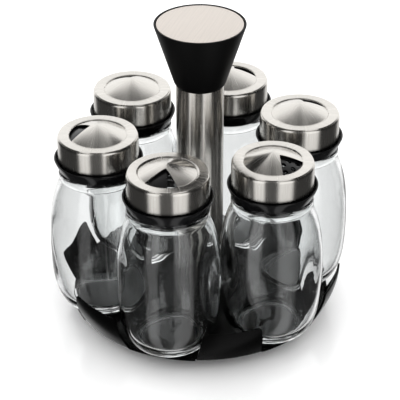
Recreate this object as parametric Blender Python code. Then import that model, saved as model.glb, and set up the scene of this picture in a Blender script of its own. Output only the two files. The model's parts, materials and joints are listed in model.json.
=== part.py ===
"""Spice carousel: six glass shaker jars on a turning tray with a steel column and a knob.

Frame: metres, +Z up. The origin is on the table, under the column's axis. Jar 1 stands at -Y,
and the others follow it every 60 degrees towards +X. Bearings around a jar's own axis are
counted from +X towards +Y.
"""

import math

import bmesh
import bpy

MM = 0.001

# Layout.
JARS = 6
JAR_STEP = 360 / JARS
RING_RADIUS = 59.0 * MM
TURNED_SIDES = 24
LID_SIDES = 16
ROD_SIDES = 12
SHARP_ANGLE = 35

# Heights above the table.
TRAY_BOTTOM = 8.0 * MM
TRAY_THICK = 1.2 * MM
TRAY_TOP = TRAY_BOTTOM + TRAY_THICK
TOUCH = 0.3 * MM
JAR_BOTTOM = TRAY_TOP + TOUCH
JAR_MOUTH = 112.0 * MM
LID_TOP = 119.4 * MM
KNOB_BOTTOM = 145.6 * MM
KNOB_TOP = 182.1 * MM

# Tray.
TRAY_RADIUS = 76.2 * MM
TRAY_SIDES = 48
TAB_TOP = 30.5 * MM
TAB_FLARE = 7.2 * MM
TAB_HALF_ANGLE_LOW = 14.4
TAB_HALF_ANGLE_HIGH = 11.6
TAB_THICK = 1.2 * MM
TAB_ROOT = 0.3 * MM
TAB_ROWS = 4
TAB_COLUMNS = 4

# Column.
TUBE_RADIUS = 13.5 * MM
TUBE_WALL = 1.0 * MM
ROD_RADIUS = 3.0 * MM
ROD_HOLE = 3.5 * MM
ROD_BOTTOM = 1.7 * MM
ROD_TOP = 160.0 * MM
PLUG_LENGTH = 11.0 * MM
PLUG_GAP = 0.45 * MM
NUT_BORE = 3.35 * MM
LOCK_NUT_SIZE = 9.5 * MM
LOCK_NUT_BOTTOM = 1.9 * MM
LOCK_NUT_TOP = 2.9 * MM
KNOB_NUT_SIZE = 11.0 * MM
KNOB_NUT_TALL = 5.7 * MM
WASHER_RADIUS = 9.0 * MM
WASHER_BOTTOM = 3.15 * MM
WASHER_TOP = 3.55 * MM

# Knob.
KNOB_TOP_RADIUS = 25.9 * MM
KNOB_NECK_RADIUS = 14.7 * MM
KNOB_FOOT_RADIUS = 13.9 * MM
KNOB_NECK = 146.8 * MM
KNOB_WALL = 2.5 * MM
KNOB_FLOOR = 151.5 * MM
DISC_RADIUS = 24.4 * MM
DISC_THICK = 1.2 * MM
DISC_RECESS = 1.7 * MM
DISC_LEDGE = 1.6 * MM

# Foot and bearing.
FOOT_RADIUS = 50.0 * MM
FOOT_BOTTOM = 1.6 * MM
FOOT_FLOOR = 3.4 * MM
FOOT_RIM_TOP = 6.8 * MM
FOOT_BOSS_TOP = 5.4 * MM
FOOT_BOSS_RADIUS = 14.0 * MM
FOOT_RIM_WALL = 2.4 * MM
NUT_POCKET_RADIUS = 11.0 * MM
NUT_POCKET_TOP = 3.9 * MM
BUSH_HOLE = 5.9 * MM
BUSH_RADIUS = 5.5 * MM
BUSH_TOP = 5.6 * MM
PLATE_RADIUS = 45.0 * MM
PLATE_BOTTOM = 5.9 * MM
RACE_RADIUS = 34.0 * MM
RACE_HALF_WIDTH = 1.9 * MM
RACE_FLOOR_HALF_WIDTH = 1.2 * MM
RACE_DEPTH = 0.85 * MM
BALLS = 8
BALL_RADIUS = 2.0 * MM
BALL_HEIGHT = 4.7 * MM
BALL_COLUMNS = 8
BALL_ROWS = 6
CAGE_HALF_WIDTH = 3.0 * MM
CAGE_HALF_THICK = 0.5 * MM
CAGE_HOLE = 2.3 * MM
CAGE_HOLE_SIDES = 8
PADS = 4
PAD_RADIUS = 5.0 * MM
PAD_RING = 42.0 * MM
PAD_BEARING = 45
PAD_TOP = FOOT_BOTTOM - TOUCH

# Jar: outer radius against height above the jar's foot.
JAR_OUTSIDE = [(19.3, 0.0), (24.4, 5.5), (27.5, 14.0), (29.1, 26.5), (29.35, 41.0), (29.15, 54.5),
               (27.5, 68.0), (24.2, 78.5), (20.1, 86.5)]
GLASS_WALL = 2.6 * MM
GLASS_FLOOR = 5.0 * MM
GLASS_FLOOR_RADIUS = 20.5 * MM

# Lid: collar, sifter and steel shaker top.
COLLAR_BOTTOM = 98.6 * MM
COLLAR_FOOT_RADIUS = 22.5 * MM
LIP_TOP = 105.7 * MM
LIP_RADIUS = 25.4 * MM
LIP_WALL = 0.9 * MM
LIP_FLOOR = 103.8 * MM
LIP_FLOOR_RADIUS = 23.4 * MM
COLLAR_WALL_RADIUS = 21.5 * MM
COLLAR_BORE = 21.0 * MM
COLLAR_LEDGE = 116.0 * MM
COLLAR_CEILING = 113.4 * MM
COLLAR_MOUTH = 16.8 * MM
SEAL_OUTER = 20.2 * MM
SEAL_INNER = 16.0 * MM
TOP_RADIUS = 23.0 * MM
TOP_SHEET = 0.6 * MM
TOP_EDGE = 0.8 * MM
TOP_SKIRT_BOTTOM = 106.0 * MM
CONE_RADIUS = 16.8 * MM
CONE_RISE = 5.6 * MM
CONE_HALF_WAY_RISE = 3.6 * MM
CONE_GAP = 1.0 * MM
SIFTER_RADIUS = 21.4 * MM
SIFTER_THICK = 1.2 * MM
SIFTER_FOOT_RADIUS = 15.8 * MM
SHAKE_HOLE = 1.5 * MM
SHAKE_HOLE_SIDES = 6
SHAKE_RINGS = [(13.6, (-24, 0, 24)), (9.0, (-16, 16))]
POUR_BEARING = 110.0
# The pouring opening's corners: radius against bearing from its middle.
POUR_CORNERS = [(5.0, -30), (5.0, 30), (15.4, 36), (16.2, 0), (15.4, -36)]
WINDOW_HALF_ANGLE = 34.3
WINDOW_INNER = 4.2 * MM
WINDOW_OUTER = 16.2 * MM
WINDOW_ARC_STEPS = 4
WINDOW_BEARINGS = [273, 339, 75, 61, 122, 191]
# The sifter's own bearing that lies under each window: 0 shaking holes, 110 pouring opening, 235 closed.
WINDOW_OVER = [62, 0, 0, 0, 0, 235]


def material(name, colour, roughness, metallic=0.0, transmission=0.0):
    """A Principled material of one finish."""
    made = bpy.data.materials.new(name)
    made.use_nodes = True
    shader = made.node_tree.nodes["Principled BSDF"]
    shader.inputs["Base Color"].default_value = (*colour, 1.0)
    shader.inputs["Roughness"].default_value = roughness
    shader.inputs["Metallic"].default_value = metallic
    shader.inputs["Transmission Weight"].default_value = transmission
    return made


def brushed_steel(name):
    return material(name + "_brushed_steel", (0.62, 0.61, 0.59), 0.3, metallic=1.0)


def plated_steel(name):
    return material(name + "_plated_steel", (0.55, 0.55, 0.56), 0.25, metallic=1.0)


def black_plastic(name):
    return material(name + "_black_plastic", (0.012, 0.012, 0.013), 0.42)


def painted_steel(name):
    return material(name + "_black_paint", (0.01, 0.01, 0.011), 0.16)


def clear_glass(name):
    return material(name + "_clear_glass", (0.96, 0.98, 0.97), 0.02, transmission=1.0)


def soft_rubber(name):
    return material(name + "_rubber", (0.02, 0.02, 0.02), 0.75)


def clear_startup_scene():
    for obj in list(bpy.data.objects):
        bpy.data.objects.remove(obj, do_unlink=True)


def empty(name, place, parent=None):
    """A joint's centre. Its children are placed from it."""
    made = bpy.data.objects.new(name, None)
    bpy.context.scene.collection.objects.link(made)
    made.location = place
    made.parent = parent
    return made


def piece(name, mesh, finish, parent=None, place=(0, 0, 0), turn=0.0):
    """One named solid with its own material, placed from its parent."""
    made = bpy.data.objects.new(name, mesh)
    bpy.context.scene.collection.objects.link(made)
    made.parent = parent
    made.location = place
    made.rotation_euler.z = math.radians(turn)
    if not mesh.materials:
        mesh.materials.append(None)
    made.material_slots[0].link = "OBJECT"
    made.material_slots[0].material = finish(name)
    return made


def finished(name, bm):
    """The bmesh as a smooth-shaded mesh with its faces pointing out."""
    bmesh.ops.recalc_face_normals(bm, faces=bm.faces)
    mesh = bpy.data.meshes.new(name)
    bm.to_mesh(mesh)
    bm.free()
    mesh.shade_smooth()
    mesh.set_sharp_from_angle(angle=math.radians(SHARP_ANGLE))
    return mesh


def turned(name, profile, sides):
    """A closed (radius, height) outline turned round Z. A point at radius 0 becomes a pole."""
    bm = bmesh.new()
    rings = []
    for radius, height in profile:
        if radius == 0:
            rings.append([bm.verts.new((0, 0, height))])
            continue
        angles = [2 * math.pi * side / sides for side in range(sides)]
        rings.append([bm.verts.new((radius * math.cos(a), radius * math.sin(a), height)) for a in angles])
    for lower, upper in zip(rings, rings[1:] + rings[:1]):
        if len(lower) == 1 and len(upper) == 1:
            continue
        for side in range(sides):
            after = (side + 1) % sides
            corners = [lower[side % len(lower)], lower[after % len(lower)]]
            corners += [upper[after % len(upper)], upper[side % len(upper)]]
            bm.faces.new(list(dict.fromkeys(corners)))
    return finished(name, bm)


def ring(name, inner, outer, bottom, top, sides):
    return turned(name, [(inner, bottom), (outer, bottom), (outer, top), (inner, top)], sides)


def disc(name, radius, bottom, top, sides):
    return turned(name, [(0, bottom), (radius, bottom), (radius, top), (0, top)], sides)


def prism(name, outline, bottom, top):
    """A flat outline of (x, y) points drawn up from bottom to top."""
    bm = bmesh.new()
    face = bm.faces.new([bm.verts.new((x, y, bottom)) for x, y in outline])
    drawn = bmesh.ops.extrude_face_region(bm, geom=[face])["geom"]
    verts = [item for item in drawn if isinstance(item, bmesh.types.BMVert)]
    bmesh.ops.translate(bm, verts=verts, vec=(0, 0, top - bottom))
    return finished(name, bm)


def polygon(centre, radius, sides):
    """The corners of a regular polygon that has a flat side towards +X."""
    turns = [2 * math.pi * (side + 0.5) / sides for side in range(sides)]
    return [(centre[0] + radius * math.cos(a), centre[1] + radius * math.sin(a)) for a in turns]


def at_bearing(radius, bearing):
    angle = math.radians(bearing)
    return radius * math.cos(angle), radius * math.sin(angle)


def combined(name, mesh, others, operation):
    """The mesh after one exact Boolean with each of the others."""
    host = bpy.data.objects.new(name + "_host", mesh)
    bpy.context.scene.collection.objects.link(host)
    helpers = []
    for index, other in enumerate(others):
        helper = bpy.data.objects.new(f"{name}_helper_{index}", other)
        bpy.context.scene.collection.objects.link(helper)
        helper.hide_render = True
        helper.display_type = "WIRE"
        step = host.modifiers.new(f"step_{index}", "BOOLEAN")
        step.operation = operation
        step.solver = "EXACT"
        step.object = helper
        helpers.append(helper)
    graph = bpy.context.evaluated_depsgraph_get()
    made = bpy.data.meshes.new_from_object(host.evaluated_get(graph), depsgraph=graph)
    for helper in [host, *helpers]:
        bpy.data.objects.remove(helper, do_unlink=True)
    made.name = name
    made.shade_smooth()
    made.set_sharp_from_angle(angle=math.radians(SHARP_ANGLE))
    return made


# Foot and bearing.


def race(height, sign):
    """The outline of a ball groove, from its inner edge to its outer edge."""
    floor = height + sign * RACE_DEPTH
    return [(RACE_RADIUS - RACE_HALF_WIDTH, height), (RACE_RADIUS - RACE_FLOOR_HALF_WIDTH, floor),
            (RACE_RADIUS + RACE_FLOOR_HALF_WIDTH, floor), (RACE_RADIUS + RACE_HALF_WIDTH, height)]


def add_foot(centre):
    """The standing dish with its lower ball groove, the pivot bush and the rubber pads."""
    inner_wall = FOOT_RADIUS - FOOT_RIM_WALL
    outline = [(NUT_POCKET_RADIUS, FOOT_BOTTOM), (FOOT_RADIUS, FOOT_BOTTOM), (FOOT_RADIUS, FOOT_RIM_TOP),
               (inner_wall, FOOT_RIM_TOP), (inner_wall, FOOT_FLOOR)]
    outline += race(FOOT_FLOOR, -1)[::-1]
    outline += [(FOOT_BOSS_RADIUS, FOOT_FLOOR), (FOOT_BOSS_RADIUS, FOOT_BOSS_TOP),
                (BUSH_HOLE, FOOT_BOSS_TOP), (BUSH_HOLE, NUT_POCKET_TOP), (NUT_POCKET_RADIUS, NUT_POCKET_TOP)]
    piece("foot_base", turned("foot_base", outline, TURNED_SIDES), black_plastic, centre)
    bush = ring("pivot_bush", ROD_HOLE, BUSH_RADIUS, NUT_POCKET_TOP, BUSH_TOP, ROD_SIDES)
    piece("pivot_bush", bush, black_plastic, centre)
    pad = disc("foot_pad", PAD_RADIUS, 0, PAD_TOP, ROD_SIDES)
    for index in range(PADS):
        x, y = at_bearing(PAD_RING, PAD_BEARING + 360 * index / PADS)
        piece(f"foot_pad_{index + 1}", pad, soft_rubber, centre, (x, y, 0))


def add_bearing(centre):
    """The balls and the cage that spaces them. They turn at half the tray's speed."""
    cage = ring("cage", RACE_RADIUS - CAGE_HALF_WIDTH, RACE_RADIUS + CAGE_HALF_WIDTH,
                BALL_HEIGHT - CAGE_HALF_THICK, BALL_HEIGHT + CAGE_HALF_THICK, TURNED_SIDES)
    places = [at_bearing(RACE_RADIUS, 360 * index / BALLS) for index in range(BALLS)]
    outlines = [polygon(place, CAGE_HOLE, CAGE_HOLE_SIDES) for place in places]
    holes = [prism("hole", outline, 0, 2 * BALL_HEIGHT) for outline in outlines]
    piece("ball_cage", combined("ball_cage", cage, holes, "DIFFERENCE"), black_plastic, centre)
    bm = bmesh.new()
    bmesh.ops.create_uvsphere(bm, u_segments=BALL_COLUMNS, v_segments=BALL_ROWS, radius=BALL_RADIUS)
    ball = finished("ball", bm)
    for index, (x, y) in enumerate(places):
        piece(f"bearing_ball_{index + 1}", ball, plated_steel, centre, (x, y, BALL_HEIGHT))


def hex_nut(name, across_flats, bottom, top):
    """A six-sided nut round the rod."""
    outside = prism(name + "_outside", polygon((0, 0), across_flats / math.sqrt(3), 6), bottom, top)
    bore = prism(name + "_bore", polygon((0, 0), NUT_BORE, ROD_SIDES), bottom - MM, top + MM)
    return combined(name, outside, [bore], "DIFFERENCE")


def add_fastening(centre):
    """The tie rod that clamps knob, column and tray, with its nuts and washer."""
    piece("tie_rod", disc("tie_rod", ROD_RADIUS, ROD_BOTTOM, ROD_TOP, ROD_SIDES), plated_steel, centre)
    lock_nut = hex_nut("lock_nut", LOCK_NUT_SIZE, LOCK_NUT_BOTTOM, LOCK_NUT_TOP)
    piece("lock_nut", lock_nut, plated_steel, centre)
    washer = ring("thrust_washer", ROD_HOLE, WASHER_RADIUS, WASHER_BOTTOM, WASHER_TOP, ROD_SIDES)
    piece("thrust_washer", washer, plated_steel, centre)
    seat = KNOB_FLOOR + TOUCH
    piece("knob_nut", hex_nut("knob_nut", KNOB_NUT_SIZE, seat, seat + KNOB_NUT_TALL), plated_steel, centre)


def add_turntable_plate(centre):
    outline = [(ROD_HOLE, PLATE_BOTTOM), *race(PLATE_BOTTOM, 1), (PLATE_RADIUS, PLATE_BOTTOM)]
    outline += [(PLATE_RADIUS, TRAY_BOTTOM - TOUCH), (ROD_HOLE, TRAY_BOTTOM - TOUCH)]
    piece("turntable_plate", turned("turntable_plate", outline, TURNED_SIDES), plated_steel, centre)


# Tray.


def tab_solid(bearing):
    """One upright tab of sheet: it leans out as it rises, is upright at its top edge, and narrows."""
    bm = bmesh.new()
    foot = TRAY_BOTTOM + TAB_ROOT
    grids = []
    for inset in (TAB_THICK, 0.0):
        grid = []
        for row in range(TAB_ROWS + 1):
            share = row / TAB_ROWS
            radius = TRAY_RADIUS - TAB_ROOT - inset + TAB_FLARE * math.sin(share * math.pi / 2)
            height = foot + share * (TAB_TOP - foot)
            half = TAB_HALF_ANGLE_LOW + share * (TAB_HALF_ANGLE_HIGH - TAB_HALF_ANGLE_LOW)
            angles = [bearing + half * (2 * column / TAB_COLUMNS - 1) for column in range(TAB_COLUMNS + 1)]
            grid.append([bm.verts.new((*at_bearing(radius, angle), height)) for angle in angles])
        grids.append(grid)
    inner, outer = grids
    for row in range(TAB_ROWS):
        for column in range(TAB_COLUMNS):
            for grid in grids:
                bm.faces.new([grid[row][column], grid[row][column + 1], grid[row + 1][column + 1],
                              grid[row + 1][column]])
        for column in (0, TAB_COLUMNS):
            bm.faces.new([inner[row][column], outer[row][column], outer[row + 1][column], inner[row + 1][column]])
    for column in range(TAB_COLUMNS):
        for row in (0, TAB_ROWS):
            bm.faces.new([inner[row][column], inner[row][column + 1], outer[row][column + 1], outer[row][column]])
    return finished("tab", bm)


def add_tray(centre):
    """The pressed tray: a flat disc with one tab between each two jars."""
    plate = ring("tray_plate", ROD_HOLE, TRAY_RADIUS, TRAY_BOTTOM, TRAY_TOP, TRAY_SIDES)
    tabs = [tab_solid(-90 + JAR_STEP * (index + 0.5)) for index in range(JARS)]
    piece("tray", combined("tray", plate, tabs, "UNION"), painted_steel, centre)


# Column and knob.


def add_column(centre):
    tube_top = KNOB_BOTTOM - TOUCH
    tube = ring("column_tube", TUBE_RADIUS - TUBE_WALL, TUBE_RADIUS, JAR_BOTTOM, tube_top, TURNED_SIDES)
    piece("column_tube", tube, brushed_steel, centre)
    plug_radius = TUBE_RADIUS - TUBE_WALL - PLUG_GAP
    for name, bottom in (("lower_plug", JAR_BOTTOM), ("upper_plug", tube_top - PLUG_LENGTH)):
        plug = ring(name, ROD_HOLE, plug_radius, bottom, bottom + PLUG_LENGTH, ROD_SIDES)
        piece(name, plug, black_plastic, centre)


def add_knob(centre):
    """The hollow cone that the hand turns, and the steel disc let into its top."""
    recess = KNOB_TOP - DISC_RECESS
    recess_radius = DISC_RADIUS + TOUCH
    ledge = recess_radius - DISC_LEDGE
    outline = [(ROD_HOLE, KNOB_BOTTOM), (KNOB_FOOT_RADIUS, KNOB_BOTTOM), (KNOB_NECK_RADIUS, KNOB_NECK),
               (KNOB_TOP_RADIUS, KNOB_TOP), (recess_radius, KNOB_TOP), (recess_radius, recess), (ledge, recess),
               (KNOB_NECK_RADIUS - KNOB_WALL, KNOB_FLOOR), (ROD_HOLE, KNOB_FLOOR)]
    piece("knob", turned("knob", outline, TURNED_SIDES), black_plastic, centre)
    inlay = disc("knob_disc", DISC_RADIUS, recess + TOUCH, recess + TOUCH + DISC_THICK, TURNED_SIDES)
    piece("knob_disc", inlay, brushed_steel, centre)


# Jar and lid. Heights are the world's, and x and y are from the jar's own axis.


def jar_mesh():
    """A round-bellied jar with an even wall, a thick floor and a straight neck."""
    outside = [(radius * MM, JAR_BOTTOM + height * MM) for radius, height in JAR_OUTSIDE]
    floor = JAR_BOTTOM + GLASS_FLOOR
    inside = [(radius - GLASS_WALL, height) for radius, height in outside[2:]]
    neck = outside[-1][0]
    outline = [(0, JAR_BOTTOM), *outside, (neck, JAR_MOUTH), (neck - GLASS_WALL, JAR_MOUTH)]
    outline += [*inside[::-1], (GLASS_FLOOR_RADIUS, floor), (0, floor)]
    return turned("glass_jar", outline, LID_SIDES)


def collar_mesh():
    """The screw cap's body: threaded sleeve, flared lip and the ledge that carries the sifter."""
    outline = [(COLLAR_BORE, COLLAR_BOTTOM), (COLLAR_FOOT_RADIUS, COLLAR_BOTTOM), (LIP_RADIUS, LIP_TOP),
               (LIP_RADIUS - LIP_WALL, LIP_TOP), (LIP_FLOOR_RADIUS, LIP_FLOOR)]
    outline += [(COLLAR_WALL_RADIUS, LIP_FLOOR), (COLLAR_WALL_RADIUS, COLLAR_LEDGE)]
    outline += [(COLLAR_MOUTH, COLLAR_LEDGE), (COLLAR_MOUTH, COLLAR_CEILING), (COLLAR_BORE, COLLAR_CEILING)]
    return turned("cap_collar", outline, LID_SIDES)


def cone_line(drop):
    """The lid's domed cone from its foot to its tip, lowered by drop."""
    base = LID_TOP - drop
    return [(CONE_RADIUS, base), (CONE_RADIUS / 2, base + CONE_HALF_WAY_RISE), (0, base + CONE_RISE)]


def sifter_mesh():
    """The sifting disc under the steel: a shallow cone with shaking holes and one pouring opening."""
    cone = cone_line(TOP_SHEET + CONE_GAP)
    under = cone_line(TOP_SHEET + CONE_GAP + SIFTER_THICK)[:0:-1]
    underside = COLLAR_LEDGE + TOUCH
    outline = [*under, (SIFTER_FOOT_RADIUS, underside), (SIFTER_RADIUS, underside),
               (SIFTER_RADIUS, cone[0][1]), *cone]
    holes = [polygon(at_bearing(radius * MM, bearing), SHAKE_HOLE, SHAKE_HOLE_SIDES)
             for radius, bearings in SHAKE_RINGS for bearing in bearings]
    holes.append([at_bearing(radius * MM, POUR_BEARING + bearing) for radius, bearing in POUR_CORNERS])
    cutters = [prism("hole", hole, JAR_MOUTH, LID_TOP + CONE_RISE) for hole in holes]
    return combined("sifter", turned("sifter_blank", outline, LID_SIDES), cutters, "DIFFERENCE")


def shaker_top_mesh():
    """The drawn steel cap: skirt, flat margin and a low domed cone with one window."""
    inner = TOP_RADIUS - TOP_SHEET
    outline = [(inner, TOP_SKIRT_BOTTOM), (TOP_RADIUS, TOP_SKIRT_BOTTOM), (TOP_RADIUS, LID_TOP - TOP_EDGE),
               (TOP_RADIUS - TOP_EDGE, LID_TOP), *cone_line(0), *cone_line(TOP_SHEET)[::-1],
               (inner, LID_TOP - TOP_SHEET)]
    bearings = [WINDOW_HALF_ANGLE * (2 * step / WINDOW_ARC_STEPS - 1) for step in range(WINDOW_ARC_STEPS + 1)]
    window = [(WINDOW_INNER, 0.0)] + [at_bearing(WINDOW_OUTER, bearing) for bearing in bearings]
    cutter = prism("window", window, COLLAR_LEDGE, LID_TOP + 2 * CONE_RISE)
    return combined("shaker_top", turned("shaker_blank", outline, LID_SIDES), [cutter], "DIFFERENCE")


def add_jars(carousel):
    """Six alike jars. Each lid stands at its own bearing."""
    jar = jar_mesh()
    seal = ring("cap_seal", SEAL_INNER, SEAL_OUTER, JAR_MOUTH + TOUCH, COLLAR_CEILING - TOUCH, LID_SIDES)
    collar = collar_mesh()
    sifter = sifter_mesh()
    top = shaker_top_mesh()
    for index in range(JARS):
        number = index + 1
        bearing = -90 + JAR_STEP * index
        x, y = at_bearing(RING_RADIUS, bearing)
        axis = empty(f"jar_{number}_axis", (x, y, 0), carousel)
        lid_turn = WINDOW_BEARINGS[index]
        piece(f"glass_jar_{number}", jar, clear_glass, axis, turn=bearing)
        piece(f"cap_seal_{number}", seal, soft_rubber, axis)
        piece(f"cap_collar_{number}", collar, black_plastic, axis, turn=bearing)
        piece(f"sifter_{number}", sifter, black_plastic, axis, turn=lid_turn - WINDOW_OVER[index])
        piece(f"shaker_top_{number}", top, brushed_steel, axis, turn=lid_turn)


def main():
    clear_startup_scene()
    foot = empty("foot_centre", (0, 0, 0))
    bearing = empty("bearing_centre", (0, 0, 0), foot)
    carousel = empty("carousel_centre", (0, 0, 0), foot)
    add_foot(foot)
    add_bearing(bearing)
    add_turntable_plate(carousel)
    add_fastening(carousel)
    add_tray(carousel)
    add_column(carousel)
    add_knob(carousel)
    add_jars(carousel)


main()
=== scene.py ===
"""Spice carousel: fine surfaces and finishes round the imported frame.

The file is laid out as a Blender add-on and run as a script. Sizes are in millimetres unless a name
says otherwise, heights are above the table, and bearings turn from +X towards +Y.
"""

import json
import math
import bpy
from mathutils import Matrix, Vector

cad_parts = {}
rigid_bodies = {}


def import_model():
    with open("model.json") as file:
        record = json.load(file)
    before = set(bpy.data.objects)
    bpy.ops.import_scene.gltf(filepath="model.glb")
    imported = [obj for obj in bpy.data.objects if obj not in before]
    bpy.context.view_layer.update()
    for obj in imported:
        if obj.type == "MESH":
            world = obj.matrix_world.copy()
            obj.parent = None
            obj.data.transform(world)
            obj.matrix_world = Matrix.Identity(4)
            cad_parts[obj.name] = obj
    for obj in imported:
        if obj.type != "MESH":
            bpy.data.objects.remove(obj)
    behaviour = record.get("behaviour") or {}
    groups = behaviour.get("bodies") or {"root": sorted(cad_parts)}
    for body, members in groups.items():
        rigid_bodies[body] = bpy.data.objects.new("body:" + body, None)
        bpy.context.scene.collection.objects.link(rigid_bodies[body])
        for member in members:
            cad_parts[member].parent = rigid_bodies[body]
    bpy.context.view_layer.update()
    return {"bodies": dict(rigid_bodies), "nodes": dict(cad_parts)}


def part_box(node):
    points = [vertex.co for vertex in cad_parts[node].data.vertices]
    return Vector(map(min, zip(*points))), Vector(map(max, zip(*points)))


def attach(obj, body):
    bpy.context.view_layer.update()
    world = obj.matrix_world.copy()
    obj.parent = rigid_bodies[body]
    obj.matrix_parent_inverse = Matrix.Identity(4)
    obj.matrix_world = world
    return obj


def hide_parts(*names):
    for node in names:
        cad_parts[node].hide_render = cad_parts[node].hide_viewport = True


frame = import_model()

from types import SimpleNamespace

import bmesh
import bpy
import numpy as np
from bpy.props import FloatProperty, FloatVectorProperty, IntProperty, PointerProperty
from mathutils import Vector

bl_info = {
    "name": "Spice carousel",
    "version": (1, 0, 0),
    "blender": (4, 5, 0),
    "location": "View3D > Sidebar > Spice carousel",
    "description": "Builds a turning rack of glass shaker jars around its packed frame",
    "category": "Object",
}

MM = 0.001


def low_mm(node):
    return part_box(node)[0].z / MM


def high_mm(node):
    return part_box(node)[1].z / MM


def span_mm(node):
    return low_mm(node), high_mm(node)


def reach_mm(node):
    """The widest radius of a node that stands on the column's axis."""
    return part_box(node)[1].x / MM


JARS = sum(1 for body in frame["bodies"] if body.startswith("jar_"))
BALLS = sum(1 for node in frame["nodes"] if node.startswith("bearing_ball_"))
PADS = sum(1 for node in frame["nodes"] if node.startswith("foot_pad_"))
TURN = 2 * math.pi

# Bearing of each lid's window, and the sifter's own bearing that lies under it.
WINDOW_BEARINGS = (273, 339, 75, 61, 122, 191)
WINDOW_OVER = (62, 0, 0, 0, 0, 235)
POUR_BEARING = 110
POUR_HALF_ANGLE = 36
POUR_RADIUS = 10.4
POUR_HALF_WIDTH = 5.2
HOLE_RADIUS = 1.5
SHAKE_RINGS = ((13.6, (-24, 0, 24)), (9.0, (-16, 16)))

# Camera.
VIEW_BEARING = 17.2
VIEW_PITCH = 30.94
VIEW_DISTANCE = 1.022
VIEW_HEIGHT = 0.0686
VIEW_LENS = 157.4
SENSOR = 36.0


def linear(colour_hex):
    """An sRGB hex colour as linear red, green and blue."""
    parts = [int(colour_hex[start:start + 2], 16) / 255 for start in (1, 3, 5)]
    return tuple(part / 12.92 if part <= 0.04045 else ((part + 0.055) / 1.055) ** 2.4 for part in parts)


def length_property(name, description, default_mm):
    """A length that the panel shows in the scene's unit."""
    return FloatProperty(name=name, description=description, default=default_mm * MM, min=0, precision=5,
                         subtype="DISTANCE", unit="LENGTH")


def angle_property(name, description, default_degrees):
    return FloatProperty(name=name, description=description, default=math.radians(default_degrees), min=0,
                         subtype="ANGLE", unit="ROTATION")


def colour_property(name, description, colour_hex):
    return FloatVectorProperty(name=name, description=description, default=linear(colour_hex), size=3, min=0,
                               max=1, subtype="COLOR", unit="NONE")


def count_property(name, description, default):
    return IntProperty(name=name, description=description, default=default, min=12, subtype="UNSIGNED")


class RackSizes(bpy.types.PropertyGroup):
    """Sizes that a user would change."""

    tray_radius: length_property("Tray radius", "Radius of the tray's flat disc", 76.2)
    tray_sheet: length_property("Tray sheet", "Thickness of the tray's sheet", 1.2)
    tab_flare: length_property("Tab flare", "How far a tab leans out at its head", 7.2)
    tab_low: angle_property("Tab foot", "Half width of a tab's foot, seen from the column", 14.4)
    tab_high: angle_property("Tab head", "Half width of a tab's head, seen from the column", 11.6)
    glass_wall: length_property("Glass wall", "Thickness of a jar's wall", 2.6)
    glass_wave: length_property("Glass wave", "Depth of the waves inside a jar", 0.45)
    thread_pitch: length_property("Thread pitch", "Rise of a jar's thread per turn", 3.0)
    cone_rise: length_property("Cone rise", "Height of a shaker top's cone", 5.6)
    window_edge: length_property("Window edge", "Distance of a window's edge from the lid's axis", 2.96)
    turned_columns: count_property("Turned columns", "Facets round a turned piece", 96)
    jar_columns: count_property("Jar columns", "Facets round a jar", 144)


class RackColours(bpy.types.PropertyGroup):
    """Colours that a user would change."""

    steel: colour_property("Steel", "Brushed stainless steel of the shaker tops and the column", "#D0CDC8")
    disc: colour_property("Disc", "Brushed stainless steel of the knob's disc", "#DDD6CF")
    glass: colour_property("Glass", "Tint of the jars' glass", "#FDFEFE")
    cap: colour_property("Cap", "Black plastic of the collars and sifting discs", "#131314")
    knob: colour_property("Knob", "Satin black plastic of the knob", "#0A0A0B")
    tray: colour_property("Tray", "Black enamel of the tray", "#070707")
    foot: colour_property("Foot", "Black plastic of the foot, the cage and the plugs", "#161616")
    rubber: colour_property("Rubber", "Black rubber of the pads and sealing rings", "#1A1A1A")
    zinc: colour_property("Zinc", "Bright zinc plate of the rod, the nuts and the bearing", "#B4B8BC")


def settings(context):
    """The turned pieces' facets, and the colours."""
    return context.scene.rack_sizes.turned_columns, context.scene.rack_colours


def plain(group):
    """The sizes as plain numbers: lengths in millimetres, and angles in radians."""
    values = SimpleNamespace()
    for name in group.__annotations__:
        value = getattr(group, name)
        setattr(values, name, value / MM if group.bl_rna.properties[name].subtype == "DISTANCE" else value)
    return values


# Radius of the holes that the tie rod passes through, and the wall of the column's tube.
ROD_BORE = 3.5
TUBE_WALL = 1.0

# Edges that bend by more than this many degrees stay sharp.
SHARP_BEND = 38
SHARP_CUT_BEND = 30


def polar(radius, degrees):
    """A point given by its distance from the axis and its bearing."""
    return radius * math.cos(math.radians(degrees)), radius * math.sin(math.radians(degrees))


# Geometry.


def outline(corners, steps=5):
    """Straight lines with rounded corners. Each corner is (radius, height, reach): the rounding begins
    that far before and after the corner, and is the quadratic curve steered by the corner itself."""
    data = np.array([(*corner, 0.0)[:3] for corner in corners], float)
    point = data[:, :2]
    before = np.vstack([point[:1], point[:-1]]) - point
    after = np.vstack([point[1:], point[-1:]]) - point
    lengths = [np.linalg.norm(side, axis=1, keepdims=True) for side in (before, after)]
    reach = np.minimum(data[:, 2:], 0.48 * np.minimum(*lengths))
    start = point + before / np.maximum(lengths[0], 1e-9) * reach
    end = point + after / np.maximum(lengths[1], 1e-9) * reach
    t = np.linspace(0, 1, steps)[None, :, None]
    bend = (1 - t) ** 2 * start[:, None] + 2 * t * (1 - t) * point[:, None] + t**2 * end[:, None]
    return thinned(bend.reshape(-1, 2))


def loop_outline(corners, steps=5):
    """A closed outline with rounded corners: the first corner is met again at the end."""
    middle = [(corners[0][0] + corners[-1][0]) / 2, (corners[0][1] + corners[-1][1]) / 2]
    return outline([middle, *corners, middle], steps)


def thinned(points, least=1e-4):
    """The run of points without repeats."""
    gaps = np.linalg.norm(np.diff(points, axis=0), axis=1)
    return points[np.concatenate([[True], gaps > least])]


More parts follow.
